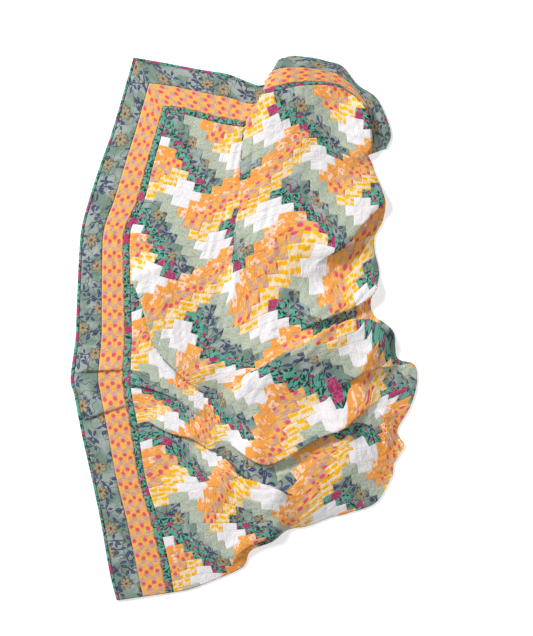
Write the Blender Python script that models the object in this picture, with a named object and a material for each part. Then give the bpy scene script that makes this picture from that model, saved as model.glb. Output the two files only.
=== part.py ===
# Patchwork quilt, laid out in soft folds on a flat surface.
# The pieced centre, three borders and the binding are each one closed solid.
# Lengths are in millimetres until the mesh is made; +X is right, +Y is the head end, +Z is up.

from collections import namedtuple

import bmesh
import bpy
import numpy as np

# Driving sizes
MM = 0.001
QUILT_THICK = 5.0
BINDING_THICK = 6.0
PIECE_GAP = 0.3
EDGE_ROUND = 55.0
SLOPE_LIMIT = 2.2

# Cells of the centre across and down, and how many of those down lie beside the border's flap
CELLS_ACROSS = 34
CELLS_DOWN = 66
CELLS_BESIDE_FLAP = 9

# Where each strip ends, as a part of the whole border's width
BINDING_END = 0.055
ORANGE_END = 0.77

# The border, from the foot up the left side and along the top to the flap at the right.
# "floral" is where the floral strip ends, as a part of the width; it grows where the flap hides the rest.
Border = namedtuple("Border", "name outer_x outer_y inner_x inner_y floral")
BORDER = (
    Border("foot", -445, -950, -245, -922, 0.46),
    Border("above_foot", -470, -850, -264, -814, 0.46),
    Border("lower_side", -500, -680, -303, -658, 0.46),
    Border("lower_side_top", -530, -535, -346, -514, 0.46),
    Border("below_notch", -567, -370, -371, -343, 0.46),
    Border("notch", -593, -235, -394, -217, 0.46),
    Border("bulge", -606, -175, -396, -154, 0.46),
    Border("middle_side", -589, -35, -392, -35, 0.46),
    Border("middle_side_top", -585, 70, -394, 77, 0.46),
    Border("below_kink", -578, 230, -399, 231, 0.46),
    Border("kink", -568, 350, -396, 340, 0.46),
    Border("above_kink", -536, 470, -350, 444, 0.46),
    Border("upper_side", -497, 588, -318, 567, 0.46),
    Border("below_corner", -458, 700, -290, 665, 0.46),
    Border("corner", -386, 948, -266, 752, 0.46),
    Border("top_start", -273, 928, -210, 749, 0.46),
    Border("top_middle", -144, 904, -136, 730, 0.46),
    Border("before_valley", -52, 888, -56, 712, 0.46),
    Border("valley", 56, 850, 21, 710, 0.46),
    Border("rise", 102, 886, 63, 784, 0.46),
    Border("crest_start", 147, 948, 136, 808, 0.43),
    Border("crest", 226, 949, 217, 836, 0.42),
    Border("crest_end", 294, 934, 287, 845, 0.42),
    Border("before_shoulder", 344, 917, 340, 837, 0.45),
    Border("shoulder", 396, 854, 385, 808, 0.50),
    Border("flap_start", 457, 812, 416, 774, 0.72),
    Border("flap_upper", 490, 756, 430, 710, 0.80),
    Border("flap_lower", 514, 679, 434, 648, 0.80),
    Border("flap_end", 497, 630, 434, 606, 0.80),
)

# The right side and the foot, where the quilt is turned under, as points of its outline
RIGHT_EDGE = (
    (434, 606), (447, 578), (462, 536), (491, 462), (494, 420), (482, 369), (458, 322), (457, 273),
    (472, 203), (466, 154), (444, 98), (452, 49), (490, 21), (525, -18), (536, -102), (595, -126),
    (604, -192), (581, -273), (536, -357), (560, -410), (528, -462), (520, -511),
)
FOOT_EDGE = (
    (520, -511), (462, -607), (368, -644), (299, -662), (224, -691), (154, -704), (98, -746),
    (24, -777), (-4, -833), (-94, -875), (-186, -910), (-245, -922),
)

# Soft raised masses, each a line with a rounded swell about it
Swell = namedtuple("Swell", "name x0 y0 x1 y1 radius height")
SWELLS = (
    Swell("upper_body", 215, 740, 235, 380, 230, 32),
    Swell("middle", 170, 210, 130, -40, 250, 26),
    Swell("upper_swag", 330, -110, 70, -320, 200, 28),
    Swell("lower_swag", 350, -420, 110, -620, 190, 26),
    Swell("foot_panel", -150, -560, -60, -740, 150, 12),
)

# Folds. Each is a path with its steep face on the path and a long slope behind it, on its high side,
# left or right of the way the path runs. The fade is how much of each end dies away.
Fold = namedtuple("Fold", "name height front back high fade_start fade_end path")
FOLDS = (
    Fold("body_valley", 34, 30, 230, "left", 0.0, 0.35,
         ((110, 975), (65, 810), (20, 730), (-5, 605), (-10, 450), (-30, 325), (-45, 155))),
    Fold("kink_crease", 8, 24, 50, "right", 0.2, 0.5,
         ((-510, 380), (-485, 365), (-385, 335), (-330, 285), (-240, 230))),
    Fold("long_lap", 26, 28, 190, "left", 0.2, 0.2,
         ((-400, 230), (-385, 160), (-355, 85), (-310, -60), (-220, -160), (-100, -260))),
    Fold("cross_ridge", 14, 45, 45, "left", 0.2, 0.2,
         ((-430, -190), (-310, -220), (-230, -255), (-130, -330))),
    Fold("upper_border_crease", 6, 24, 40, "right", 0.3, 0.3, ((-610, -165), (-500, -160), (-380, -150))),
    Fold("lower_border_crease", 5, 24, 40, "right", 0.3, 0.3, ((-600, -290), (-500, -270), (-370, -255))),
    Fold("side_crease", 16, 26, 90, "left", 0.25, 0.3,
         ((-365, -320), (-330, -330), (-260, -365), (-185, -385), (-120, -425), (-55, -450))),
    Fold("deep_crease", 26, 28, 120, "right", 0.3, 0.25,
         ((-100, -425), (-50, -465), (-15, -515), (55, -535), (140, -565), (195, -580))),
    Fold("swag_edge", 30, 28, 170, "left", 0.2, 0.3,
         ((-65, -380), (-30, -420), (65, -470), (125, -455), (240, -390), (355, -330), (425, -335),
          (460, -370), (480, -415))),
    Fold("hip_line", 32, 28, 170, "right", 0.15, 0.1,
         ((-100, -285), (-30, -205), (20, -160), (140, -90), (215, -60), (275, -10), (355, 20), (415, 30),
          (470, 10), (525, -100))),
    Fold("side_flap", 14, 24, 80, "left", 0.3, 0.1, ((320, -210), (390, -170), (445, -145), (540, -130))),
    Fold("side_pinch", 14, 26, 30, "left", 0.3, 0.3, ((460, -270), (495, -315), (495, -365), (480, -415))),
    Fold("side_lap", 14, 24, 90, "left", 0.3, 0.2, ((260, -355), (340, -315), (415, -275), (485, -240))),
    Fold("flap_crease", 24, 28, 110, "right", 0.3, 0.1,
         ((380, 825), (415, 775), (435, 735), (440, 675), (445, 595))),
    Fold("waist_upper", 28, 30, 150, "right", 0.05, 0.35,
         ((510, 460), (475, 425), (415, 365), (360, 295), (295, 250), (240, 210))),
    Fold("waist_lower", 20, 28, 110, "right", 0.05, 0.4,
         ((480, 145), (430, 105), (380, 75), (320, 50), (250, 20), (180, -20))),
    Fold("waist_pleat", 8, 24, 28, "left", 0.3, 0.3, ((455, 350), (415, 275), (370, 195))),
    Fold("foot_bunch", 12, 24, 60, "left", 0.3, 0.3, ((-40, -835), (-10, -785), (30, -755), (170, -705))),
)

# The pieces: thickness, colour and roughness
Piece = namedtuple("Piece", "name thick cells colour roughness")
BORDER_PIECES = (
    Piece("binding", BINDING_THICK, 1, (0.10, 0.28, 0.24), 0.85),
    Piece("border_outer_floral", QUILT_THICK, 2, (0.34, 0.45, 0.39), 0.85),
    Piece("border_middle_orange", QUILT_THICK, 2, (0.86, 0.48, 0.18), 0.85),
    Piece("border_inner_narrow", QUILT_THICK, 1, (0.10, 0.28, 0.24), 0.85),
)
CENTRE_PIECE = Piece("pieced_centre", QUILT_THICK, 0, (0.80, 0.66, 0.45), 0.85)


def clear_scene():
    for thing in list(bpy.data.objects):
        bpy.data.objects.remove(thing, do_unlink=True)


def smooth(x):
    x = np.clip(x, 0.0, 1.0)
    return x * x * (3.0 - 2.0 * x)


def spline(points, where):
    """A Catmull-Rom curve through the points, at the given fractional row numbers."""
    points = np.asarray(points, dtype=float)
    where = np.clip(np.asarray(where, dtype=float), 0.0, len(points) - 1.0)
    row = np.minimum(where.astype(int), len(points) - 2)
    part = (where - row)[:, None]
    before = points[np.maximum(row - 1, 0)]
    here = points[row]
    after = points[row + 1]
    beyond = points[np.minimum(row + 2, len(points) - 1)]
    return 0.5 * (2.0 * here + (after - before) * part
                  + (2.0 * before - 5.0 * here + 4.0 * after - beyond) * part ** 2
                  + (3.0 * here - before - 3.0 * after + beyond) * part ** 3)


def even_rows(points, steps):
    """Fractional row numbers that cut the curve into steps of equal length."""
    fine = np.linspace(0.0, len(points) - 1.0, 40 * (len(points) - 1) + 1)
    line = spline(points, fine)
    run = np.concatenate(([0.0], np.cumsum(np.hypot(*np.diff(line, axis=0).T))))
    return np.interp(np.linspace(0.0, run[-1], steps + 1), run, fine)


def even_line(points, steps):
    return spline(points, even_rows(points, steps))


def line_distance(x, y, line):
    """Distance from each point to a line of points, its signed side and how far along it lies."""
    best = np.full(x.shape, 1e9)
    side = np.zeros(x.shape)
    along = np.zeros(x.shape)
    count = len(line) - 1
    for number in range(count):
        ax, ay = line[number]
        dx, dy = line[number + 1] - line[number]
        part = np.clip(((x - ax) * dx + (y - ay) * dy) / (dx * dx + dy * dy), 0.0, 1.0)
        gap = np.hypot(x - ax - part * dx, y - ay - part * dy)
        near = gap < best
        cross = dx * (y - ay) - dy * (x - ax)
        best = np.where(near, gap, best)
        side = np.where(near, np.sign(cross), side)
        along = np.where(near, (number + part) / count, along)
    return best, side, along


def swell_height(x, y, swell):
    line = np.array(((swell.x0, swell.y0), (swell.x1, swell.y1)), dtype=float)
    gap, _side, _along = line_distance(x, y, line)
    return swell.height * np.clip(1.0 - (gap / swell.radius) ** 2, 0.0, 1.0) ** 2


def fold_height(x, y, fold):
    line = even_line(fold.path, 6 * len(fold.path))
    gap, side, along = line_distance(x, y, line)
    if fold.high == "right":
        side = -side
    behind = gap * side
    rise = smooth(behind / fold.front + 0.5)
    fall = 1.0 - smooth((behind - 0.5 * fold.front) / fold.back)
    ends = np.ones(x.shape)
    if fold.fade_start > 0.0:
        ends = ends * smooth(along / fold.fade_start)
    if fold.fade_end > 0.0:
        ends = ends * smooth((1.0 - along) / fold.fade_end)
    return fold.height * rise * fall * ends


def relief(x, y, outline):
    """How high the quilt stands above lying flat; it comes down to the surface all round its outline."""
    total = np.zeros(x.shape)
    for swell in SWELLS:
        total = total + swell_height(x, y, swell)
    for fold in FOLDS:
        total = total + fold_height(x, y, fold)
    inset, _side, _along = line_distance(x, y, outline)
    ramp = np.clip(inset / EDGE_ROUND, 0.0, 1.0)
    return total * np.sqrt(np.clip(1.0 - (1.0 - ramp) ** 2, 0.0, 1.0))


def offset_line(line, distance):
    """The line moved sideways to its right by the distance, with its corners kept sharp."""
    steps = np.diff(line, axis=0)
    normals = np.stack((steps[:, 1], -steps[:, 0]), axis=1) / np.hypot(*steps.T)[:, None]
    first = np.vstack((normals[:1], normals))
    second = np.vstack((normals, normals[-1:]))
    middle = first + second
    middle = middle / np.hypot(*middle.T)[:, None]
    stretch = np.maximum(np.sum(middle * first, axis=1), 0.5)
    return line + distance * middle / stretch[:, None]


def border_rows():
    """Fractional row numbers of the border that its strips and the centre share."""
    inner = np.array([(row.inner_x, row.inner_y) for row in BORDER], dtype=float)
    names = [row.name for row in BORDER]
    corner = names.index("corner")
    shoulder = names.index("shoulder")
    side = even_rows(inner[:corner + 1], CELLS_DOWN)
    top = corner + even_rows(inner[corner:shoulder + 1], CELLS_ACROSS)
    flap = shoulder + even_rows(inner[shoulder:], CELLS_BESIDE_FLAP)
    return side, top, flap


def border_point_lines(where):
    """The border's dividing lines, from the outer edge to the inner, at the given rows."""
    corner = [row.name for row in BORDER].index("corner")
    outer = np.array([(row.outer_x, row.outer_y) for row in BORDER], dtype=float)
    inner = np.array([(row.inner_x, row.inner_y) for row in BORDER], dtype=float)
    floral = np.array([(row.floral, 0.0) for row in BORDER], dtype=float)
    on_side = where <= corner

    def both(points):
        low = spline(points[:corner + 1], np.minimum(where, corner))
        high = spline(points[corner:], np.maximum(where - corner, 0.0))
        return np.where(on_side[:, None], low, high)

    outer_line = both(outer)
    inner_line = both(inner)
    floral_end = both(floral)[:, :1]
    orange_end = floral_end + (1.0 - floral_end) * ORANGE_END
    ends = (0.0, BINDING_END, floral_end, orange_end, 1.0)
    return [outer_line + (inner_line - outer_line) * end for end in ends]


def sheet_heights(plan, thick, outline):
    """Top and underside heights of a sheet that lies over the relief."""
    x = plan[..., 0]
    y = plan[..., 1]
    rise = relief(x, y, outline)
    slope_x = relief(x + 1.0, y, outline) - rise
    slope_y = relief(x, y + 1.0, outline) - rise
    steep = np.minimum(np.sqrt(1.0 + slope_x ** 2 + slope_y ** 2), SLOPE_LIMIT)
    top = rise + thick
    return top, np.maximum(top - thick * steep, 0.0)


def make_material(piece):
    material = bpy.data.materials.new(piece.name + "_cloth")
    material.use_nodes = True
    shader = material.node_tree.nodes["Principled BSDF"]
    shader.inputs["Base Color"].default_value = (*piece.colour, 1.0)
    shader.inputs["Roughness"].default_value = piece.roughness
    shader.inputs["Metallic"].default_value = 0.0
    return material


def make_sheet(piece, plan, outline, collection):
    """A closed sheet: a grid, thickened by extruding it, with each vertex moved to its draped place."""
    down = plan.shape[0] - 1
    across = plan.shape[1] - 1
    top, underside = sheet_heights(plan, piece.thick, outline)
    centre = 0.5 * (outline.min(axis=0) + outline.max(axis=0))
    spread = (plan - centre) * MM
    bm = bmesh.new()
    bmesh.ops.create_grid(bm, x_segments=across, y_segments=down, size=0.5)
    lifted = bmesh.ops.extrude_face_region(bm, geom=list(bm.faces))
    for item in lifted["geom"]:
        if isinstance(item, bmesh.types.BMVert):
            item.co.z = 1.0
    for vert in bm.verts:
        column = round((vert.co.x + 0.5) * across)
        line = round((vert.co.y + 0.5) * down)
        height = top if vert.co.z > 0.5 else underside
        vert.co = (spread[line, column, 0], spread[line, column, 1], height[line, column] * MM)
    bmesh.ops.recalc_face_normals(bm, faces=list(bm.faces))
    mesh = bpy.data.meshes.new(piece.name)
    bm.to_mesh(mesh)
    bm.free()
    mesh.materials.append(make_material(piece))
    thing = bpy.data.objects.new(piece.name, mesh)
    collection.objects.link(thing)
    return thing


def strip_plan(first, last, cells):
    """Plan grid of one border strip between two of the border's lines, half a gap inside each."""
    parts = np.linspace(0.0, 1.0, cells + 1)[None, :, None]
    return first[:, None, :] * (1.0 - parts) + last[:, None, :] * parts


def centre_plan(left, top, right, foot):
    """Plan grid of the centre, blended from its four edges (each runs right or down)."""
    across = np.linspace(0.0, 1.0, len(top))[None, :, None]
    down = np.linspace(0.0, 1.0, len(left))[:, None, None]
    sides = left[:, None, :] * (1.0 - across) + right[:, None, :] * across
    ends = top[None, :, :] * (1.0 - down) + foot[None, :, :] * down
    upper = top[0] * (1.0 - across) + top[-1] * across
    lower = foot[0] * (1.0 - across) + foot[-1] * across
    return sides + ends - upper * (1.0 - down) - lower * down


def build():
    clear_scene()
    collection = bpy.data.collections.new("patchwork_quilt")
    bpy.context.scene.collection.children.link(collection)

    side, top, flap = border_rows()
    where = np.concatenate((side, top[1:], flap[1:]))
    lines = border_point_lines(where)
    right_free = even_line(RIGHT_EDGE, CELLS_DOWN - CELLS_BESIDE_FLAP)
    foot_free = even_line(FOOT_EDGE, CELLS_ACROSS)
    outline = np.vstack((lines[0], lines[-1][-1:], right_free[1:], foot_free[1:], lines[0][:1]))

    half_gap = 0.5 * PIECE_GAP
    for number, piece in enumerate(BORDER_PIECES):
        first = lines[number]
        if number > 0:
            first = offset_line(first, half_gap)
        last = offset_line(lines[number + 1], -half_gap)
        make_sheet(piece, strip_plan(first, last, piece.cells), outline, collection)

    inner = offset_line(lines[-1], half_gap)
    left_edge = inner[:CELLS_DOWN + 1][::-1]
    top_edge = inner[CELLS_DOWN:CELLS_DOWN + CELLS_ACROSS + 1]
    flap_edge = inner[CELLS_DOWN + CELLS_ACROSS:]
    right_edge = np.vstack((flap_edge, right_free[1:]))
    foot_edge = foot_free[::-1].copy()
    foot_edge[0] = left_edge[-1]
    make_sheet(CENTRE_PIECE, centre_plan(left_edge, top_edge, right_edge, foot_edge), outline, collection)


build()
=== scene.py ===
# Looks of the patchwork quilt: its draped sheets at fine resolution, printed cottons, seams and quilting.
# Plan sizes are in millimetres in the CAD's own draft places; +X is right and +Y is the head end.

import math
from collections import namedtuple

import bmesh
import bpy
import numpy as np
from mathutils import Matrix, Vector


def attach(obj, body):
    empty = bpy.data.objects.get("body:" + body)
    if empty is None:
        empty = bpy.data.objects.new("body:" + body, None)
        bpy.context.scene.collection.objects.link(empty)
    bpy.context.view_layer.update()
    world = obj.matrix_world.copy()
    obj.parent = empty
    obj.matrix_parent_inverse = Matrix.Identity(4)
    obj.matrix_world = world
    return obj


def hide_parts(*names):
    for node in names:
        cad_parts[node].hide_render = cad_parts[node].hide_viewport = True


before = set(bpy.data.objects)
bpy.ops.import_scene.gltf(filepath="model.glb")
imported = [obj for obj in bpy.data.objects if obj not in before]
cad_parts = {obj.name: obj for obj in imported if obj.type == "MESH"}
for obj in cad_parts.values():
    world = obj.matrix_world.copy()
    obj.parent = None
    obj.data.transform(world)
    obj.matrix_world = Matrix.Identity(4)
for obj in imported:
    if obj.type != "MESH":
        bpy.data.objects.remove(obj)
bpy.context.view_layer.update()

# Sizes shared with the solids
MM = 0.001
QUILT_THICK = 5.0
BINDING_THICK = 6.0
PIECE_GAP = 0.3
EDGE_ROUND = 55.0
BINDING_END = 0.055
ORANGE_END = 0.77

# One patch unit of the piecing
UNIT = 31.75

# Cells of the fine meshes, and the steps by which a curve is measured between two of its points
FINE_ACROSS = 196
FINE_DOWN = 360
FINE_BESIDE_FLAP = 52
CURVE_STEPS = 40

# How sharp the folds are against the solids' own, and how far their crests lean over the low side
FRONT_SHARPER = 0.5
FOLD_LEAN = 1.05

# The share of its lean that a crest stands behind its fold's path
CREST_BEHIND = 0.7

# A fold's path is cut into this many steps for each of its points, and the points are about this far apart
FOLD_STEPS = 6
PATH_LEG = 60.0

# How near the parts of a bent line are that rule how far along it a place lies, and how steeply that falls
BEND_REACH = 30.0
BEND_POWER = 6

# Puckers all over the quilt, on flat and on raised cloth, and the wrinkles beside its higher folds
Pucker = namedtuple("Pucker", "size height seed")
PUCKERS = (Pucker(36.0, 1.1, 3), Pucker(16.0, 0.55, 4))
PUCKER_LIFT = 1.5
FLAT_SHARE = 0.9
RAISED_SHARE = 0.9
RAISED_HEIGHT = 20.0
CALM_EDGE = 30.0
WRINKLE_SIZE = 13.0
WRINKLE_HEIGHT = 2.2
WRINKLE_LIMIT = 1.2
WRINKLE_REACH = 4.0
WRINKLE_SLANT = 0.25
WRINKLE_STRETCH = 0.22
WRINKLED_FOLD = 24.0
WRINKLE_SEED = 20

# The table of random numbers behind the noise, and where in it the quilt's middle lies
NOISE_CELLS = 128
NOISE_START = 500.0

Border = namedtuple("Border", "name outer_x outer_y inner_x inner_y floral")
BORDER = (
    Border("foot", -445, -950, -245, -922, 0.46),
    Border("above_foot", -470, -850, -264, -814, 0.46),
    Border("lower_side", -500, -680, -303, -658, 0.46),
    Border("lower_side_top", -530, -535, -346, -514, 0.46),
    Border("below_notch", -567, -370, -371, -343, 0.46),
    Border("notch", -593, -235, -394, -217, 0.46),
    Border("bulge", -606, -175, -396, -154, 0.46),
    Border("middle_side", -589, -35, -392, -35, 0.46),
    Border("middle_side_top", -585, 70, -394, 77, 0.46),
    Border("below_kink", -578, 230, -399, 231, 0.46),
    Border("kink", -568, 350, -396, 340, 0.46),
    Border("above_kink", -536, 470, -350, 444, 0.46),
    Border("upper_side", -497, 588, -318, 567, 0.46),
    Border("below_corner", -458, 700, -290, 665, 0.46),
    Border("corner", -386, 948, -266, 752, 0.46),
    Border("top_start", -273, 928, -210, 749, 0.46),
    Border("top_middle", -144, 904, -136, 730, 0.46),
    Border("before_valley", -52, 888, -56, 712, 0.46),
    Border("valley", 56, 850, 21, 710, 0.46),
    Border("rise", 102, 886, 63, 784, 0.46),
    Border("crest_start", 147, 948, 136, 808, 0.43),
    Border("crest", 226, 949, 217, 836, 0.42),
    Border("crest_end", 294, 934, 287, 845, 0.42),
    Border("before_shoulder", 344, 917, 340, 837, 0.45),
    Border("shoulder", 396, 854, 385, 808, 0.50),
    Border("flap_start", 457, 812, 416, 774, 0.72),
    Border("flap_upper", 490, 756, 430, 710, 0.80),
    Border("flap_lower", 514, 679, 434, 648, 0.80),
    Border("flap_end", 497, 630, 434, 606, 0.80),
)
RIGHT_EDGE = (
    (434, 606), (447, 578), (462, 536), (491, 462), (494, 420), (482, 369), (458, 322), (457, 273),
    (472, 203), (466, 154), (444, 98), (452, 49), (490, 21), (525, -18), (536, -102), (595, -126),
    (604, -192), (581, -273), (536, -357), (560, -410), (528, -462), (520, -511),
)
FOOT_EDGE = (
    (520, -511), (462, -607), (368, -644), (299, -662), (224, -691), (154, -704), (98, -746),
    (24, -777), (-4, -833), (-94, -875), (-186, -910), (-245, -922),
)

Swell = namedtuple("Swell", "name x0 y0 x1 y1 radius height")
SWELLS = (
    Swell("upper_body", 215, 740, 235, 380, 230, 32),
    Swell("middle", 170, 210, 130, -40, 250, 26),
    Swell("upper_swag", 330, -110, 70, -320, 200, 28),
    Swell("lower_swag", 350, -420, 110, -620, 190, 26),
    Swell("foot_panel", -150, -560, -60, -740, 150, 12),
)

# The folds of the solids, a few of them reshaped a little here, with the patches that each hides at its
# start, middle and end: columns and rows of the piecing skipped on the fold's high side.
Fold = namedtuple("Fold", "name height front back high fade_start fade_end hide_columns hide_rows path")
FOLDS = (
    Fold("body_valley", 34, 30, 230, "left", 0.0, 0.4, (8.0, 6.0, 3.0), (0.0, 1.2, 1.6),
         ((110, 975), (65, 810), (20, 730), (-5, 605), (-10, 450), (-30, 325), (-45, 155), (-75, 0))),
    Fold("kink_crease", 8, 24, 50, "right", 0.2, 0.5, (0.0, 0.0, 0.0), (0.0, 0.0, 0.0),
         ((-510, 380), (-485, 365), (-385, 335), (-330, 285), (-240, 230))),
    Fold("long_lap", 26, 28, 190, "left", 0.1, 0.2, (2.0, 3.9, 3.0), (0.8, -3.3, -1.2),
         ((-400, 230), (-385, 160), (-355, 85), (-310, -60), (-220, -160), (-100, -260))),
    Fold("cross_ridge", 14, 45, 45, "left", 0.2, 0.2, (0.0, 0.0, 0.0), (0.0, 0.0, 0.0),
         ((-430, -190), (-310, -220), (-230, -255), (-130, -330))),
    Fold("upper_border_crease", 8, 32, 50, "left", 0.3, 0.3, (0.0, 0.0, 0.0), (0.0, 0.0, 0.0),
         ((-610, -158), (-500, -150), (-380, -146))),
    Fold("lower_border_crease", 7, 34, 50, "left", 0.3, 0.3, (0.0, 0.0, 0.0), (0.0, 0.0, 0.0),
         ((-585, -345), (-500, -300), (-370, -262))),
    Fold("side_crease", 16, 26, 90, "left", 0.25, 0.3, (0.5, 1.4, 2.0), (-1.0, -2.4, -3.0),
         ((-365, -320), (-330, -330), (-260, -365), (-185, -385), (-120, -425), (-55, -450))),
    Fold("deep_crease", 26, 28, 120, "right", 0.3, 0.25, (0.5, -2.6, -1.5), (3.5, 2.4, 1.0),
         ((-100, -425), (-50, -465), (-15, -515), (55, -535), (140, -565), (195, -580))),
    Fold("swag_edge", 30, 28, 170, "left", 0.2, 0.3, (0.5, 0.2, 1.0), (-3.0, -4.2, -3.0),
         ((-65, -380), (-30, -420), (65, -470), (125, -455), (240, -390), (355, -330), (425, -335),
          (460, -370), (480, -415))),
    Fold("hip_line", 32, 28, 170, "right", 0.15, 0.1, (3.4, 2.15, 1.0), (1.0, 4.7, 2.0),
         ((-100, -285), (-30, -205), (20, -160), (140, -90), (215, -60), (275, -10), (355, 20), (415, 30),
          (470, 10), (525, -100))),
    Fold("side_flap", 14, 24, 80, "left", 0.3, 0.1, (0.0, 0.8, 1.5), (0.0, -2.0, -3.5),
         ((320, -210), (390, -170), (445, -145), (540, -130))),
    Fold("side_pinch", 14, 26, 30, "left", 0.3, 0.3, (0.0, 0.0, 0.0), (0.0, 0.0, 0.0),
         ((460, -270), (495, -315), (495, -365), (480, -415))),
    Fold("side_lap", 14, 24, 90, "left", 0.3, 0.2, (0.0, 1.5, 0.3), (0.0, -2.5, -2.5),
         ((260, -355), (340, -315), (415, -275), (485, -240))),
    Fold("flap_crease", 24, 28, 110, "right", 0.3, 0.1, (0.0, 0.0, 0.0), (0.0, 0.0, 0.0),
         ((380, 825), (415, 775), (435, 735), (440, 675), (445, 595))),
    Fold("waist_upper", 28, 30, 150, "right", 0.05, 0.35, (0.0, -0.6, -5.0), (-2.0, -1.5, 0.0),
         ((510, 460), (475, 425), (415, 365), (360, 295), (295, 250), (240, 210))),
    Fold("waist_lower", 28, 28, 110, "right", 0.05, 0.3, (0.0, 0.0, 0.0), (-3.0, -3.0, -1.0),
         ((480, 145), (430, 105), (380, 75), (320, 50), (250, 20), (180, -20))),
    Fold("waist_pleat", 8, 24, 28, "left", 0.3, 0.3, (0.0, 0.0, 0.0), (0.0, 0.0, 0.0),
         ((455, 350), (415, 275), (370, 195))),
    Fold("foot_bunch", 12, 24, 60, "left", 0.3, 0.3, (0.0, 0.0, 0.0), (0.0, 2.0, 2.0),
         ((-40, -835), (-10, -785), (30, -755), (170, -705))),
)

# How far a fold's hidden patches stay hidden behind it, against the length of its back. At an end that fades
# over more than OPEN_FADE of the fold's length, they set in over HIDE_FADE of it or more.
HIDE_REACH = 1.6
HIDE_FADE = 0.25
OPEN_FADE = 0.1

# The piecing is spread by a thin plate spline: its unit of length, and how loosely it holds to the anchors
SPREAD_UNIT = 500.0
ANCHOR_SLACK = 0.004

# Where the piecing lies on the laid quilt: plan x and y of chosen patches, then their column and row
ANCHORS = (
    (-275, 654, 1.5, 0.5), (-368, 349, 1.5, 10.5), (-378, 43, 1.5, 20.5),
    (-379, -218, 1.5, 30.5), (-346, -406, 1.5, 40.5), (-260, -743, 1.5, 50.5),
    (-213, 474, 5, 5.5), (-328, 176, 5, 15.5), (-268, -145, 5, 25.5),
    (-246, -315, 5, 35.5), (-172, -550, 5, 45.5), (-130, -868, 5, 55.5),
    (-24, 598, 10, 0.5), (-107, 285, 10, 10.5), (-217, -23, 10, 20.5),
    (-49, -718, 10, 50.5), (-60, -168, 15, 25.5), (-21, -399, 15, 35.5),
    (92, -585, 15, 45.5), (108, 688, 20, 0.5), (80, 400, 20, 10.5),
    (82, 2, 20, 20.5), (30, -200, 20, 30.5), (260, 602, 25, 5.5),
    (258, 215, 25, 15.5), (293, -297, 25, 35.5), (287, -652, 20, 50.5),
    (383, 679, 30, 0.5), (412, 410, 30, 10.5), (413, 112, 30, 20),
    (387, -65, 30, 30.5), (410, -453, 25, 45.5),
    (147, -455, 19.4, 42), (171, -546, 18.6, 44), (63, -483, 16.9, 41.8),
    (-31, -472, 14.7, 40.4), (336, -364, 24.9, 42), (371, -434, 23, 45.5),
    (465, -427, 27, 45.5), (364, -276, 27, 35.2), (222, -325, 23, 35.5),
    (264, -262, 25, 34), (493, -210, 30.7, 37.6), (455, -273, 29.3, 40.5),
    (486, -399, 27.8, 45.2), (528, -385, 30.8, 44.8), (528, -276, 32.3, 42),
    (329, -84, 28, 30.5), (444, -54, 32, 30.5), (147, -602, 17, 45.5),
    (21, -556, 13, 45), (-77, -385, 13, 35.5), (28, -403, 17, 36),
    (42, -381, 18, 35), (63, -294, 20, 33), (47, -343, 19, 34),
    (-38, -228, 18, 30.5), (98, -172, 22, 30.5), (205, -199, 24, 32),
    (181, -250, 23, 33), (393, -10, 30, 29), (409, -122, 30, 32),
    (108, -301, 21, 33.5), (133, -255, 22, 32.5), (150, -210, 23, 31.5),
    (381, -133, 29, 32), (395, -210, 28.6, 35.4), (427, -175, 30.2, 35.2),
    (-231, -73, 10, 22), (-341, 130, 5, 17), (-211, 28, 10, 19),
    (-316, 227, 5, 14), (-259, -98, 9.3, 23), (70, -203, 21, 31),
    (84, -241, 21, 32), (49, -262, 20, 32), (32, -308, 19, 33),
    (24, -360, 18, 34), (17, -270, 19, 32), (52, -168, 21, 30),
    (63, -318, 19.7, 33.5), (84, -280, 20.6, 32.9),
    (318, -269, 26, 35), (357, -252, 27, 35),
    (-7, 189, 17.5, 15.5), (-63, 154, 13.2, 15.2),
    (294, 210, 27.6, 15.6), (448, -241, 28.9, 37.3),
    (574, -210, 32.5, 40), (574, -147, 34.5, 38),
    (-266, 752, 1, -2.7), (-56, 712, 8.2, -2.8), (63, 784, 19.7, -2.7),
    (217, 836, 24.2, -2.8),
    (-396, 340, 1, 10.8), (-394, 77, 1, 19.4), (-346, -514, 1, 43.6),
    (-245, -922, 1, 56.2),
)

# The photo's view: the camera stands straight above this place, and one pixel is this wide on the floor
VIEW_X = 79.0
VIEW_Y = 35.0
PIXEL = 3.5
PICTURE_TALL = 636
CAMERA_UP = 4500.0
SENSOR = 36.0

# The strips' prints start this many patch units apart, and the outline keeps every third point
STRIP_SHIFT = 20.0
OUTLINE_STEP = 3

# The piecing repeats every ten patches. Its coloured bands are two patches wide and seven rows long.
REPEAT = 10.0
BAND_START = 2.0
BAND_WIDE = 2.0
COLOURED_ROWS = 6.5

# The piecing's outermost column and row, just inside their seams, and how far apart patches are cut
FIRST_COLUMN = 1.001
FIRST_ROW = -2.999
CUT_SPREAD = 9.0

# Prints, in patch units: the white cotton's lines to a unit, the lattice of buds, and a line's soft edge
WHITE_LINES = 6.0
BUD_ACROSS = 1.12
BUD_DOWN = 1.6
VEIN_SOFTNESS = 0.6

# In radians
FULL_TURN = 6.283

# Sprays of the blue floral: spacing and shift, and each leaf's angle in degrees, place and half length
Blade = namedtuple("Blade", "angle out half_long")
Spray = namedtuple("Spray", "size move_x move_y blades")
SPRAYS = (
    Spray(2.05, 0.0, 0.0, (Blade(12, 0.24, 0.16), Blade(78, 0.22, 0.15),
                           Blade(-62, 0.23, 0.15), Blade(176, 0.26, 0.18))),
    Spray(2.35, 4.3, 7.7, (Blade(30, 0.22, 0.15), Blade(140, 0.24, 0.16), Blade(-100, 0.21, 0.13))),
)

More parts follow.
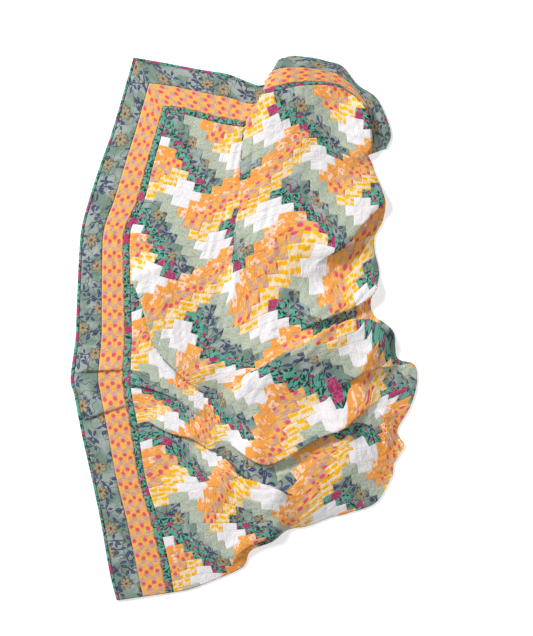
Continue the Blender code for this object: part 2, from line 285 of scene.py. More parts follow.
# Fan quilting in patch units, the relief of the cloth's surface, and the painted shade laid into its seam
# ditches and quilted lines
FAN_WIDE = 4.4
FAN_HIGH = 2.2
FAN_STEP = 0.55
PUCKER_DEPTH = 0.6
WEAVE_DEPTH = 0.05
QUILTING_DEPTH = 0.11
DITCH_DEPTH = 0.12
BUMP_DISTANCE = 0.0048
# Painted shade: how much the colour darkens along the seam ditches and the quilted lines
DITCH_PAINTED_SHADE = 0.045
QUILTING_PAINTED_SHADE = 0.03

# The studio, in metres and watts
Light = namedtuple("Light", "name x y z size power")
LIGHTS = (
    Light("key_light", -4.7, 3.4, 3.7, 1.6, 500.0),
    Light("fill_light", 1.6, 0.2, 4.4, 2.2, 58.0),
)
SKY_GLOW = 0.21
FLOOR_SIZE = 30.0
FLOOR_DROP = 0.0005
FLOOR_GLOW = 0.34


def smooth(x):
    """A soft step from 0 to 1."""
    x = np.clip(x, 0.0, 1.0)
    return x * x * (3.0 - 2.0 * x)


def spline(points, where):
    """A Catmull-Rom curve through the points, at the given fractional row numbers."""
    points = np.asarray(points, dtype=float)
    where = np.clip(np.asarray(where, dtype=float), 0.0, len(points) - 1.0)
    row = np.minimum(where.astype(int), len(points) - 2)
    part = (where - row)[:, None]
    before = points[np.maximum(row - 1, 0)]
    here = points[row]
    after = points[row + 1]
    beyond = points[np.minimum(row + 2, len(points) - 1)]
    return 0.5 * (2.0 * here + (after - before) * part
                  + (2.0 * before - 5.0 * here + 4.0 * after - beyond) * part ** 2
                  + (3.0 * here - before - 3.0 * after + beyond) * part ** 3)


def even_rows(points, steps):
    """Fractional row numbers that cut the curve into steps of equal length."""
    fine = np.linspace(0.0, len(points) - 1.0, CURVE_STEPS * (len(points) - 1) + 1)
    line = spline(points, fine)
    run = np.concatenate(([0.0], np.cumsum(np.hypot(*np.diff(line, axis=0).T))))
    return np.interp(np.linspace(0.0, run[-1], steps + 1), run, fine)


def even_line(points, steps):
    """The curve through the points, in steps of equal length."""
    return spline(points, even_rows(points, steps))


def line_distance(x, y, line):
    """Distance to a line of points, its signed side, how far along it, and the way to it.

    How far along is a mean that the nearest parts of the line rule, so it has no jump inside a bend.
    """
    best = np.full(x.shape, 1e9)
    side = np.zeros(x.shape)
    along = np.zeros(x.shape)
    weights = np.zeros(x.shape)
    across_x = np.zeros(x.shape)
    across_y = np.zeros(x.shape)
    count = len(line) - 1
    for number in range(count):
        ax, ay = line[number]
        dx, dy = line[number + 1] - line[number]
        length = math.hypot(dx, dy)
        part = np.clip(((x - ax) * dx + (y - ay) * dy) / (length * length), 0.0, 1.0)
        gap = np.hypot(x - ax - part * dx, y - ay - part * dy)
        near = gap < best
        cross = dx * (y - ay) - dy * (x - ax)
        best = np.where(near, gap, best)
        side = np.where(near, np.sign(cross), side)
        pull = (1.0 / (1.0 + (gap / BEND_REACH) ** 2)) ** BEND_POWER
        weights += pull
        along += pull * (number + part) / count
        across_x = np.where(near, -dy / length, across_x)
        across_y = np.where(near, dx / length, across_y)
    return best, side, along / np.maximum(weights, 1e-30), across_x, across_y


def fold_place(x, y, fold):
    """How far behind the fold's face a point lies, how far along it, and the way to its high side."""
    line = even_line(fold.path, FOLD_STEPS * len(fold.path))
    gap, side, along, across_x, across_y = line_distance(x, y, line)
    if fold.high == "right":
        return -gap * side, along, -across_x, -across_y
    return gap * side, along, across_x, across_y


def fold_fade(fold, along):
    """How high a fold stands along its path, from 0 at an end that fades out to 1."""
    ends = np.ones(along.shape)
    if fold.fade_start > 0.0:
        ends = ends * smooth(along / fold.fade_start)
    if fold.fade_end > 0.0:
        ends = ends * smooth((1.0 - along) / fold.fade_end)
    return ends


def along_values(values, along):
    """A smooth curve through a start, middle and end value."""
    start, middle, end = values
    return (start * (1.0 - along) * (1.0 - 2.0 * along) + 4.0 * middle * along * (1.0 - along)
            + end * along * (2.0 * along - 1.0))


def swell_height(x, y, swell):
    """The height of a broad round rise along its line."""
    line = np.array(((swell.x0, swell.y0), (swell.x1, swell.y1)), dtype=float)
    gap = line_distance(x, y, line)[0]
    return swell.height * np.clip(1.0 - (gap / swell.radius) ** 2, 0.0, 1.0) ** 2


def soft_noise(x, y, size, seed):
    """Smooth noise from -1 to 1 with blobs of the given size."""
    rng = np.random.default_rng(seed)
    table = rng.uniform(-1.0, 1.0, (NOISE_CELLS, NOISE_CELLS))
    u = x / size + NOISE_START
    v = y / size + NOISE_START
    column = np.floor(u).astype(int)
    row = np.floor(v).astype(int)
    fu = smooth(u - column)
    fv = smooth(v - row)

    def across(line):
        here = table[line % NOISE_CELLS, column % NOISE_CELLS]
        beside = table[line % NOISE_CELLS, (column + 1) % NOISE_CELLS]
        return here * (1 - fu) + beside * fu

    return across(row) * (1 - fv) + across(row + 1) * fv


def set_back(fold, along):
    """How far a fold's face stands back, so that its leaning crest lies over the fold's path."""
    return CREST_BEHIND * FOLD_LEAN * fold.height * fold_fade(fold, along)


def drape(plan, outline):
    """Heights over the relief, the sideways lean of the folds' crests, and the patches that folds hide."""
    x = plan[..., 0]
    y = plan[..., 1]
    total = np.zeros(x.shape)
    wrinkles = np.zeros(x.shape)
    lean = np.zeros(plan.shape)
    steps = []
    for swell in SWELLS:
        total = total + swell_height(x, y, swell)
    for number, fold in enumerate(FOLDS):
        behind, along, way_x, way_y = fold_place(x, y, fold)
        fade = fold_fade(fold, along)
        behind = behind - set_back(fold, along)
        front = fold.front * FRONT_SHARPER
        rise = smooth(behind / front + 0.5)
        fall = 1.0 - smooth((behind - 0.5 * front) / fold.back)
        bump = fold.height * rise * fall * fade
        total = total + bump
        lean[..., 0] -= FOLD_LEAN * bump * way_x
        lean[..., 1] -= FOLD_LEAN * bump * way_y
        steps.append(rise)
        run = along * PATH_LEG * len(fold.path)
        near = np.exp(-(behind / (WRINKLE_REACH * fold.height)) ** 2) * smooth(fold.height / WRINKLED_FOLD)
        wrinkles += near * soft_noise(behind + WRINKLE_SLANT * run, WRINKLE_STRETCH * run,
                                      WRINKLE_SIZE, WRINKLE_SEED + number)
    inset = line_distance(x, y, outline)[0]
    ramp = np.clip(inset / EDGE_ROUND, 0.0, 1.0)
    edge = np.sqrt(np.clip(1.0 - (1.0 - ramp) ** 2, 0.0, 1.0))
    near_edge = smooth(inset / CALM_EDGE)
    pucker = sum(row.height * soft_noise(x, y, row.size, row.seed) for row in PUCKERS)
    raised = smooth(total / RAISED_HEIGHT)
    pucker = pucker * (FLAT_SHARE + RAISED_SHARE * raised)
    pucker = pucker + WRINKLE_HEIGHT * np.clip(wrinkles, -WRINKLE_LIMIT, WRINKLE_LIMIT)
    lean = lean * near_edge[..., None]
    skipped = seen_hidden(x + lean[..., 0], y + lean[..., 1], steps)
    return total * edge + (pucker + PUCKER_LIFT) * near_edge, lean, skipped


def patches_hidden(fold, behind, along, step):
    """Columns and rows of the piecing that a fold hides from the places behind it."""
    reach = np.exp(-(np.maximum(behind, 0.0) / (HIDE_REACH * fold.back)) ** 2)
    share = step * reach
    if fold.fade_start > OPEN_FADE:
        share = share * smooth(along / max(fold.fade_start, HIDE_FADE))
    if fold.fade_end > OPEN_FADE:
        share = share * smooth((1.0 - along) / max(fold.fade_end, HIDE_FADE))
    columns = share * along_values(fold.hide_columns, along)
    rows = share * along_values(fold.hide_rows, along)
    return np.stack((columns, rows), axis=-1)


def seen_hidden(x, y, steps=None):
    """The patches hidden at places as they are seen from above.

    The steps say for each fold how far the places are up its face. Without them, its path is its edge.
    """
    skipped = np.zeros(x.shape + (2,))
    for number, fold in enumerate(FOLDS):
        if any(fold.hide_columns) or any(fold.hide_rows):
            behind, along, _x, _y = fold_place(x, y, fold)
            step = (behind > 0.0).astype(float) if steps is None else steps[number]
            skipped += patches_hidden(fold, behind, along, step)
    return skipped


def piecing_at(x, y, skipped):
    """Column and row of the piecing at plan places, through the anchors and past the folds."""
    anchors = np.array(ANCHORS, dtype=float)

    def kernel(ax, ay, bx, by):
        gap = np.hypot(ax[:, None] - bx[None, :], ay[:, None] - by[None, :]) / SPREAD_UNIT
        return gap ** 2 * np.log(gap + 1e-9)

    ax = anchors[:, 0]
    ay = anchors[:, 1]
    wanted = anchors[:, 2:4] - seen_hidden(ax, ay)
    count = len(anchors)
    matrix = np.zeros((count + 3, count + 3))
    matrix[:count, :count] = kernel(ax, ay, ax, ay) + ANCHOR_SLACK * np.eye(count)
    flat = np.stack((np.ones(count), ax / SPREAD_UNIT, ay / SPREAD_UNIT), axis=1)
    matrix[:count, count:] = flat
    matrix[count:, :count] = flat.T
    weights = np.linalg.solve(matrix, np.vstack((wanted, np.zeros((3, 2)))))
    px = x.ravel()
    py = y.ravel()
    slope = np.stack((np.ones(len(px)), px / SPREAD_UNIT, py / SPREAD_UNIT), axis=1)
    field = kernel(px, py, ax, ay) @ weights[:count] + slope @ weights[count:]
    return field.reshape(x.shape + (2,)) + skipped


def border_lines(where):
    """The border's dividing lines, from the outer edge to the inner, at the given rows."""
    corner = [row.name for row in BORDER].index("corner")
    outer = np.array([(row.outer_x, row.outer_y) for row in BORDER], dtype=float)
    inner = np.array([(row.inner_x, row.inner_y) for row in BORDER], dtype=float)
    floral = np.array([(row.floral, 0.0) for row in BORDER], dtype=float)
    on_side = where <= corner

    def both(points):
        low = spline(points[:corner + 1], np.minimum(where, corner))
        high = spline(points[corner:], np.maximum(where - corner, 0.0))
        return np.where(on_side[:, None], low, high)

    outer_line = both(outer)
    inner_line = both(inner)
    floral_end = both(floral)[:, :1]
    orange_end = floral_end + (1.0 - floral_end) * ORANGE_END
    ends = (0.0, BINDING_END, floral_end, orange_end, 1.0)
    return [outer_line + (inner_line - outer_line) * end for end in ends]


def offset_line(line, distance):
    """The line moved sideways to its right by the distance, with its corners kept sharp."""
    steps = np.diff(line, axis=0)
    normals = np.stack((steps[:, 1], -steps[:, 0]), axis=1) / np.hypot(*steps.T)[:, None]
    first = np.vstack((normals[:1], normals))
    second = np.vstack((normals, normals[-1:]))
    middle = first + second
    middle = middle / np.hypot(*middle.T)[:, None]
    stretch = np.maximum(np.sum(middle * first, axis=1), 0.5)
    return line + distance * middle / stretch[:, None]


def centre_plan(left, top, right, foot):
    """Plan grid of the centre, blended from its four edges (each runs right or down)."""
    across = np.linspace(0.0, 1.0, len(top))[None, :, None]
    down = np.linspace(0.0, 1.0, len(left))[:, None, None]
    sides = left[:, None, :] * (1.0 - across) + right[:, None, :] * across
    ends = top[None, :, :] * (1.0 - down) + foot[None, :, :] * down
    upper = top[0] * (1.0 - across) + top[-1] * across
    lower = foot[0] * (1.0 - across) + foot[-1] * across
    return sides + ends - upper * (1.0 - down) - lower * down


def grid_normals(points):
    """Upward unit normals of a grid of points."""
    down = np.gradient(points, axis=0)
    across = np.gradient(points, axis=1)
    normal = np.cross(down, across)
    normal = normal / np.maximum(np.linalg.norm(normal, axis=2, keepdims=True), 1e-9)
    return normal * np.where(normal[..., 2:] < 0.0, -1.0, 1.0)


def make_sheet(name, plan, thick, outline, cloth, material):
    """A closed sheet over the relief, with the cloth's own coordinates as its UV map.

    The underside has half as many cells each way. With no cloth coordinates given, they are the piecing's.
    """
    heights, lean, skipped = drape(plan, outline)
    if cloth is None:
        cloth = piecing_at(plan[..., 0] + lean[..., 0], plan[..., 1] + lean[..., 1], skipped)
    centre = 0.5 * (outline.min(axis=0) + outline.max(axis=0))
    top = np.dstack((plan - centre + lean, heights + thick))
    under = top - grid_normals(top) * thick
    under[..., 2] = np.maximum(under[..., 2], 0.0)
    under = under[::2, ::2]
    lines, columns = plan.shape[:2]
    count = lines * columns
    verts = np.concatenate((top.reshape(-1, 3), under.reshape(-1, 3))) * MM
    above = np.arange(count).reshape(lines, columns)
    below = count + np.arange(under.shape[0] * under.shape[1]).reshape(under.shape[:2])

    def quads(index):
        corners = (index[:-1, :-1], index[:-1, 1:], index[1:, 1:], index[1:, :-1])
        return np.stack(corners, axis=-1).reshape(-1, 4)

    def rim(index):
        return np.concatenate((index[0, :], index[1:, -1], index[-1, -2::-1], index[-2:0:-1, 0]))

    high = rim(above)
    low = rim(below)
    walls = np.stack((high[::2], high[1::2], np.roll(high, -2)[::2], np.roll(low, -1), low), axis=-1)
    faces = quads(above).tolist() + quads(below)[:, ::-1].tolist() + walls.tolist()
    mesh = bpy.data.meshes.new(name)
    mesh.from_pydata(verts.tolist(), [], faces)
    mesh.validate()
    uv = mesh.uv_layers.new(name="cloth")
    values = np.concatenate((cloth.reshape(-1, 2), cloth[::2, ::2].reshape(-1, 2)))
    corner_verts = np.zeros(len(mesh.loops), dtype=np.int32)
    mesh.loops.foreach_get("vertex_index", corner_verts)
    uv.data.foreach_set("uv", values[corner_verts].astype(np.float32).ravel())
    mesh.polygons.foreach_set("use_smooth", np.ones(len(mesh.polygons), dtype=bool))
    mesh.materials.append(material)
    thing = bpy.data.objects.new(name, mesh)
    bpy.context.scene.collection.objects.link(thing)
    fix_winding(thing)
    return thing


def fix_winding(thing):
    """Turns all faces outwards."""
    bm = bmesh.new()
    bm.from_mesh(thing.data)
    bmesh.ops.recalc_face_normals(bm, faces=list(bm.faces))
    bm.to_mesh(thing.data)
    bm.free()


def colour(red, green, blue):
    """A colour from its screen values, 0 to 255."""
    def linear(value):
        value = value / 255.0
        return value / 12.92 if value <= 0.04045 else ((value + 0.055) / 1.055) ** 2.4
    return (linear(red), linear(green), linear(blue), 1.0)


class Nodes:
    """Short calls that add shader nodes and hand back their sockets."""

    def __init__(self, tree):
        self.tree = tree

    def add(self, kind, **settings):
        node = self.tree.nodes.new(kind)
        for key, value in settings.items():
            setattr(node, key, value)
        return node

    def put(self, socket, value):
        if isinstance(value, bpy.types.NodeSocket):
            self.tree.links.new(value, socket)
        else:
            socket.default_value = value

    def math(self, operation, *values, clamp=False):
        node = self.add("ShaderNodeMath", operation=operation, use_clamp=clamp)
        for socket, value in zip(node.inputs, values):
            self.put(socket, value)
        return node.outputs[0]

    def plus(self, first, second):
        return self.math("ADD", first, second)

    def minus(self, first, second):
        return self.math("SUBTRACT", first, second)

    def times(self, first, second):
        return self.math("MULTIPLY", first, second)

    def over(self, first, second):
        return self.math("DIVIDE", first, second)

    def off_middle(self, value):
        """How far a value is from one half."""
        return self.math("ABSOLUTE", self.minus(value, 0.5))

    def vector(self, operation, *values):
        node = self.add("ShaderNodeVectorMath", operation=operation)
        for socket, value in zip(node.inputs, values):
            self.put(socket, value)
        return node.outputs["Value" if operation == "LENGTH" else "Vector"]

    def moved(self, vector, x, y):
        return self.vector("ADD", vector, (x, y, 0.0))

    def scaled(self, vector, factor):
        node = self.add("ShaderNodeVectorMath", operation="SCALE")
        self.put(node.inputs[0], vector)
        self.put(node.inputs["Scale"], factor)
        return node.outputs["Vector"]

    def split(self, vector):
        node = self.add("ShaderNodeSeparateXYZ")
        self.put(node.inputs[0], vector)
        return node.outputs[0], node.outputs[1], node.outputs[2]

    def join(self, x, y, z=0.0):
        node = self.add("ShaderNodeCombineXYZ")
        for socket, value in zip(node.inputs, (x, y, z)):
            self.put(socket, value)
        return node.outputs[0]

    def far(self, x, y):
        """How far a place is from its motif's middle."""
        return self.vector("LENGTH", self.join(x, y))

    def mix(self, share, first, second):
        node = self.add("ShaderNodeMix", data_type="RGBA")
        self.put(node.inputs[0], share)
        self.put(node.inputs[6], first)
        self.put(node.inputs[7], second)
        return node.outputs[2]

    def laid(self, shade, mask, tint, strength=1.0):
        """The shade with a tint laid over it where the mask is."""
        if strength != 1.0:
            mask = self.times(mask, strength)
        return self.mix(mask, shade, tint)

    def noise(self, vector, scale, detail=2.0, rough=0.5, out="Fac"):
        node = self.add("ShaderNodeTexNoise")
        self.put(node.inputs["Vector"], vector)
        node.inputs["Scale"].default_value = scale
        node.inputs["Detail"].default_value = detail
        node.inputs["Roughness"].default_value = rough
        return node.outputs[out]

    def bent(self, vector, scale, amount):
        """A place pushed about by noise."""
        bend = self.noise(vector, scale, detail=1.0, out="Color")
        return self.vector("ADD", vector, self.scaled(bend, amount))

    def random(self, vector):
        node = self.add("ShaderNodeTexWhiteNoise", noise_dimensions="3D")
        self.put(node.inputs["Vector"], vector)
        return node.outputs["Color"]

    def below(self, value, edge, softness):
        """1 where the value is below the edge, with a soft step."""
        node = self.add("ShaderNodeMapRange", interpolation_type="SMOOTHSTEP")
        self.put(node.inputs["Value"], value)
        node.inputs["From Min"].default_value = edge - softness
        node.inputs["From Max"].default_value = edge + softness
        node.inputs["To Min"].default_value = 1.0
        node.inputs["To Max"].default_value = 0.0
        return node.outputs[0]

    def spots(self, vector, size, jitter=1.0, turned=True):
        """Scattered motif places: a motif's own x, y in units of its spacing, and a random number."""
        place = self.scaled(vector, 1.0 / size)
        node = self.add("ShaderNodeTexVoronoi", voronoi_dimensions="2D", feature="F1")
        self.put(node.inputs["Vector"], place)
        node.inputs["Scale"].default_value = 1.0
        node.inputs["Randomness"].default_value = jitter
        own = self.vector("SUBTRACT", place, node.outputs["Position"])
        red, green, _blue = self.split(node.outputs["Color"])
        if turned:
            turn = self.add("ShaderNodeVectorRotate", rotation_type="Z_AXIS")
            self.put(turn.inputs["Vector"], own)
            self.put(turn.inputs["Angle"], self.times(red, FULL_TURN))
            own = turn.outputs[0]
        x, y, _z = self.split(own)
        return x, y, green


def flower(n, x, y, petals, size, waist=0.35, soft=0.03):
    """A flower's mask from its own x and y, round petals about a centre, and how far each place is out."""
    angle = n.math("ARCTAN2", y, x)
    lobes = n.math("ABSOLUTE", n.math("COSINE", n.times(angle, petals * 0.5)))
    reach = n.math("MULTIPLY_ADD", lobes, size * (1.0 - waist), size * waist)
    far = n.far(x, y)
    return n.below(n.minus(far, reach), 0.0, soft), far


def leaf(n, x, y, half_long, half_wide, soft=0.03):
    """A pointed leaf's mask, lying along x."""
    part = n.over(x, half_long)
    edge = n.times(n.minus(1.0, n.times(part, part)), half_wide)
    return n.below(n.minus(n.math("ABSOLUTE", y), edge), 0.0, soft)


def disc(n, x, y, radius, soft=0.03):
    return n.below(n.far(x, y), radius, soft)


def swung(n, x, y, angle, out):
    """A place's own x and y for a leaf that points outwards at an angle from its spray's middle."""
    turn = math.radians(angle)
    along = n.minus(n.plus(n.times(x, math.cos(turn)), n.times(y, math.sin(turn))), out)
    aside = n.minus(n.times(y, math.cos(turn)), n.times(x, math.sin(turn)))
    return along, aside


def vein(n, at, scale, width, detail=1.0):
    """Thin wandering lines, such as stems."""
    return n.below(n.off_middle(n.noise(at, scale, detail)), width, width * VEIN_SOFTNESS)


def print_white(n, at):
    """White cotton with faint lines woven across it."""
    _x, y, _z = n.split(at)
    lines = n.math("FRACT", n.times(y, WHITE_LINES))
    line = n.below(n.off_middle(lines), edge=0.18, softness=0.12)
    return n.laid(colour(243, 239, 241), line, colour(222, 217, 222), strength=0.20)


def print_orange(n, at):
    """Cream outlined blossoms and small leaves on strong orange."""
    shade = n.mix(n.noise(at, scale=1.6), colour(246, 154, 58), colour(250, 176, 96))
    x, y, pick = n.spots(at, size=0.60)
    dash = leaf(n, x, y, half_long=0.36, half_wide=0.11, soft=0.05)
    dash = n.times(dash, n.below(pick, edge=0.72, softness=0.02))
    shade = n.laid(shade, dash, colour(255, 216, 176), strength=0.75)
    x, y, _pick = n.spots(n.moved(at, 0.7, 2.9), size=1.65, jitter=0.8)
    petals, _far = flower(n, x, y, petals=5.0, size=0.30, waist=0.6)
    inside, _far = flower(n, x, y, petals=5.0, size=0.20, waist=0.55)
    shade = n.laid(shade, petals, colour(255, 226, 204), strength=0.9)
    shade = n.laid(shade, inside, colour(248, 184, 150), strength=0.6)
    return n.laid(shade, disc(n, x, y, radius=0.06, soft=0.02), colour(244, 132, 60))


def bud_column(n, at, shift, turned):
    """One set of a half-drop lattice of buds: the bud's mask and its petals' mask."""
    x, y, _z = n.split(at)
    part_x = n.math("FRACT", n.math("MULTIPLY_ADD", x, 1.0 / BUD_ACROSS, shift))
    part_y = n.math("FRACT", n.math("MULTIPLY_ADD", y, 1.0 / BUD_DOWN, shift))
    own_x = n.times(n.minus(part_x, 0.5), BUD_ACROSS)
    own_y = n.times(n.minus(part_y, 0.5), BUD_DOWN * turned)
    bud = disc(n, own_x, n.plus(own_y, 0.21), radius=0.225, soft=0.05)
    petals, _far = flower(n, own_x, n.minus(own_y, 0.16), petals=5.0, size=0.36, waist=0.60, soft=0.05)
    return bud, petals


def print_bud_rows(n, at):
    """Pink buds with grey petals on golden orange, in columns that drop by half and turn about."""
    bend = n.noise(at, scale=1.3, detail=1.0, out="Color")
    bent = n.vector("ADD", at, n.scaled(n.vector("SUBTRACT", bend, (0.5, 0.5, 0.5)), 0.22))
    ground = n.mix(n.noise(at, scale=1.5), colour(244, 174, 72), colour(247, 188, 104))
    first_bud, first_petals = bud_column(n, bent, shift=0.0, turned=1.0)
    second_bud, second_petals = bud_column(n, bent, shift=0.5, turned=-1.0)
    petals = n.math("MAXIMUM", first_petals, second_petals)
    bud = n.math("MAXIMUM", first_bud, second_bud)
    streak = n.mix(n.noise(at, scale=6.0, detail=1.0), colour(178, 134, 138), colour(222, 184, 172))
    shade = n.laid(ground, petals, streak, strength=0.88)
    pink = n.mix(n.noise(at, scale=5.0, detail=1.0), colour(226, 66, 96), colour(236, 108, 124))
    return n.laid(shade, bud, pink)


def print_yellow(n, at):
    """Bright yellow caps on cream, with faint grey sprigs between."""
    x, y, pick = n.spots(at, size=0.64, jitter=0.5, turned=False)
    cap = disc(n, n.times(x, 0.78), y, radius=0.345, soft=0.05)
    notch = disc(n, x, n.plus(y, 0.30), radius=0.13, soft=0.05)
    clump = n.math("SUBTRACT", cap, notch, clamp=True)
    ground = n.mix(n.noise(at, scale=2.4), colour(250, 234, 208), colour(249, 214, 160))
    ground = n.laid(ground, vein(n, at, scale=2.2, width=0.03), colour(206, 190, 176), strength=0.5)
    return n.laid(ground, clump, n.mix(pick, colour(255, 198, 8), colour(252, 176, 6)))


def print_teal(n, at):
    """Dark leaves packed on teal, with magenta blooms and petals."""
    ground = n.mix(n.noise(at, scale=1.1), colour(120, 186, 166), colour(78, 152, 134))
    x, y, pick = n.spots(n.bent(at, scale=1.2, amount=0.7), size=0.50)
    dark = leaf(n, x, y, half_long=0.62, half_wide=0.21, soft=0.06)
    dark = n.times(dark, n.below(pick, edge=0.66, softness=0.02))
    dark = n.math("MAXIMUM", dark, vein(n, at, scale=1.5, width=0.022, detail=2.0))
    shade = n.laid(ground, dark, colour(34, 62, 60))
    x, y, _pick = n.spots(n.moved(at, 3.3, 1.7), size=0.95)
    shade = n.laid(shade, leaf(n, x, y, half_long=0.30, half_wide=0.13), colour(194, 62, 108))
    x, y, pick = n.spots(at, size=2.5, jitter=0.8)
    bloom, _far = flower(n, x, y, petals=9.0, size=0.22, waist=0.84, soft=0.015)
    dots = n.below(n.noise(at, scale=9.0, detail=0.0), edge=0.5, softness=0.08)
    pink = n.laid(colour(164, 46, 96), dots, colour(204, 96, 138), strength=0.7)
    return n.laid(shade, n.times(bloom, n.below(pick, edge=0.82, softness=0.02)), pink)


def print_blue_floral(n, at):
    """Tan blooms, sprays of navy leaves and brown stems on a washed grey-green ground."""
    wash = n.below(n.noise(at, scale=0.42), edge=0.5, softness=0.12)
    ground = n.mix(wash, colour(122, 144, 131), colour(164, 175, 170))
    x, y, _pick = n.spots(n.moved(at, 5.1, 0.4), size=1.9)
    green = leaf(n, x, y, half_long=0.30, half_wide=0.16, soft=0.08)
    shade = n.laid(ground, green, colour(108, 146, 120), strength=0.6)
    bent = n.bent(at, scale=0.7, amount=0.7)
    shade = n.laid(shade, vein(n, at, scale=0.62, width=0.011), colour(84, 66, 70), strength=0.8)
    for spray in SPRAYS:
        x, y, _pick = n.spots(n.moved(bent, spray.move_x, spray.move_y), spray.size, jitter=0.85)
        stem = leaf(n, x, y, half_long=0.52, half_wide=0.022, soft=0.02)
        shade = n.laid(shade, stem, colour(66, 54, 70))
        for blade in spray.blades:
            along, aside = swung(n, x, y, blade.angle, blade.out)
            rib = leaf(n, along, aside, blade.half_long * 0.7, half_wide=0.018, soft=0.02)
            navy = n.laid(colour(44, 52, 98), rib, colour(112, 122, 152))
            whole = leaf(n, along, aside, blade.half_long, half_wide=0.072, soft=0.025)
            shade = n.laid(shade, whole, navy)
    x, y, _pick = n.spots(n.moved(bent, 1.4, 2.2), size=3.6, jitter=0.8)
    edge, far = flower(n, x, y, petals=7.0, size=0.225, waist=0.50, soft=0.02)
    inner, _far = flower(n, x, y, petals=7.0, size=0.185, waist=0.36, soft=0.02)
    streaks = n.mix(n.noise(at, scale=7.0, detail=1.0), colour(150, 126, 98), colour(196, 176, 146))
    shade = n.laid(shade, edge, colour(112, 98, 62), strength=0.9)
    shade = n.laid(shade, inner, streaks)
    return n.laid(shade, n.below(far, edge=0.05, softness=0.02), colour(104, 84, 60))


def print_sage(n, at):
    """Sage ground with pale and dark twigs close to its own tone."""
    x, y, _z = n.split(at)
    wave = n.off_middle(n.math("FRACT", n.times(x, 1.3)))
    zigzag = n.math("FRACT", n.plus(n.times(y, 2.4), n.times(wave, 1.9)))
    line = n.below(n.off_middle(zigzag), edge=0.17, softness=0.12)
    ground = n.mix(n.noise(at, scale=2.2, detail=3.0), colour(190, 198, 179), colour(171, 180, 162))
    ground = n.laid(ground, vein(n, at, scale=1.4, width=0.03), colour(150, 162, 140), strength=0.5)
    return n.laid(ground, line, colour(204, 211, 192), strength=0.45)


def fan_quilting(n, at):
    """Quilted lines: rows of fans of even arcs, that step by half a fan a row."""
    x, y, _z = n.split(at)
    fan_row = n.math("FLOOR", n.over(y, FAN_HIGH))
    odd = n.math("FLOORED_MODULO", fan_row, 2.0)
    part = n.math("FRACT", n.plus(n.over(x, FAN_WIDE), n.times(odd, 0.5)))
    fan_x = n.times(n.minus(part, 0.5), FAN_WIDE)
    fan_y = n.times(n.math("FRACT", n.over(y, FAN_HIGH)), FAN_HIGH)
    arcs = n.math("FRACT", n.over(n.far(fan_x, fan_y), FAN_STEP))
    return n.below(n.off_middle(arcs), edge=0.10, softness=0.10)


def cloth_surface(n, shader, at, shade, ditch):
    """Sets the shader from a cloth's colour and its seam ditches: weave, fan quilting, puckers and sheen,
    with painted shade that darkens the colour in the puckers' hollows, the seam ditches and the quilted
    lines.
    """
    weave = n.noise(at, scale=34.0)
    puckers = n.noise(at, scale=2.2, detail=3.0, rough=0.6)
    quilting = fan_quilting(n, at)
    height = n.math("MULTIPLY_ADD", puckers, PUCKER_DEPTH, n.times(weave, WEAVE_DEPTH))
    height = n.minus(height, n.times(quilting, QUILTING_DEPTH))
    height = n.minus(height, n.times(ditch, DITCH_DEPTH))
    bump = n.add("ShaderNodeBump")
    bump.inputs["Strength"].default_value = 0.8
    bump.inputs["Distance"].default_value = BUMP_DISTANCE
    n.put(bump.inputs["Height"], height)
    # Painted shade: the colour is darker in the puckers' hollows, along the seam ditches and along the
    # quilted lines, following the bump's relief
    painted_shading = n.math("MULTIPLY_ADD", puckers, 0.20, 0.90)
    painted_shading = n.minus(painted_shading, n.times(ditch, DITCH_PAINTED_SHADE))
    painted_shading = n.minus(painted_shading, n.times(quilting, QUILTING_PAINTED_SHADE))
    colour_with_painted_shade = n.vector("MULTIPLY", shade, n.join(painted_shading, painted_shading, painted_shading))
    n.put(shader.inputs["Base Color"], colour_with_painted_shade)
    n.put(shader.inputs["Normal"], bump.outputs[0])
    shader.inputs["Roughness"].default_value = 0.88
    shader.inputs["Sheen Weight"].default_value = 0.08
    shader.inputs["Specular IOR Level"].default_value = 0.2


def new_material(name):
    material = bpy.data.materials.new(name)
    material.use_nodes = True
    tree = material.node_tree
    shader = tree.nodes["Principled BSDF"]
    n = Nodes(tree)
    uv = n.add("ShaderNodeUVMap", uv_map="cloth")
    return material, n, shader, uv.outputs[0]


def strip_material(name, painter):
    material, n, shader, at = new_material(name)
    cloth_surface(n, shader, at, painter(n, at), 0.0)
    return material


def band_of(n, diagonal):
    """The number of the coloured band that a diagonal of the piecing lies in."""
    return n.math("FLOOR", n.over(n.minus(diagonal, BAND_START), BAND_WIDE))


def seam_ditches(n, u, v, row, cool_on):
    """The ditches of the seams between rows, and of those at the ends of the bricks."""
    row_seam = n.minus(1.0, n.below(n.off_middle(n.math("FRACT", v)), edge=0.44, softness=0.05))
    warm_end = n.math("FRACT", n.over(n.plus(u, row), 2.0))
    cool_end = n.math("FRACT", n.over(n.minus(u, row), 2.0))
    end = n.plus(n.times(warm_end, n.minus(1.0, cool_on)), n.times(cool_end, cool_on))
    end_seam = n.minus(1.0, n.below(n.off_middle(end), edge=0.47, softness=0.025))
    return n.math("MAXIMUM", row_seam, end_seam)


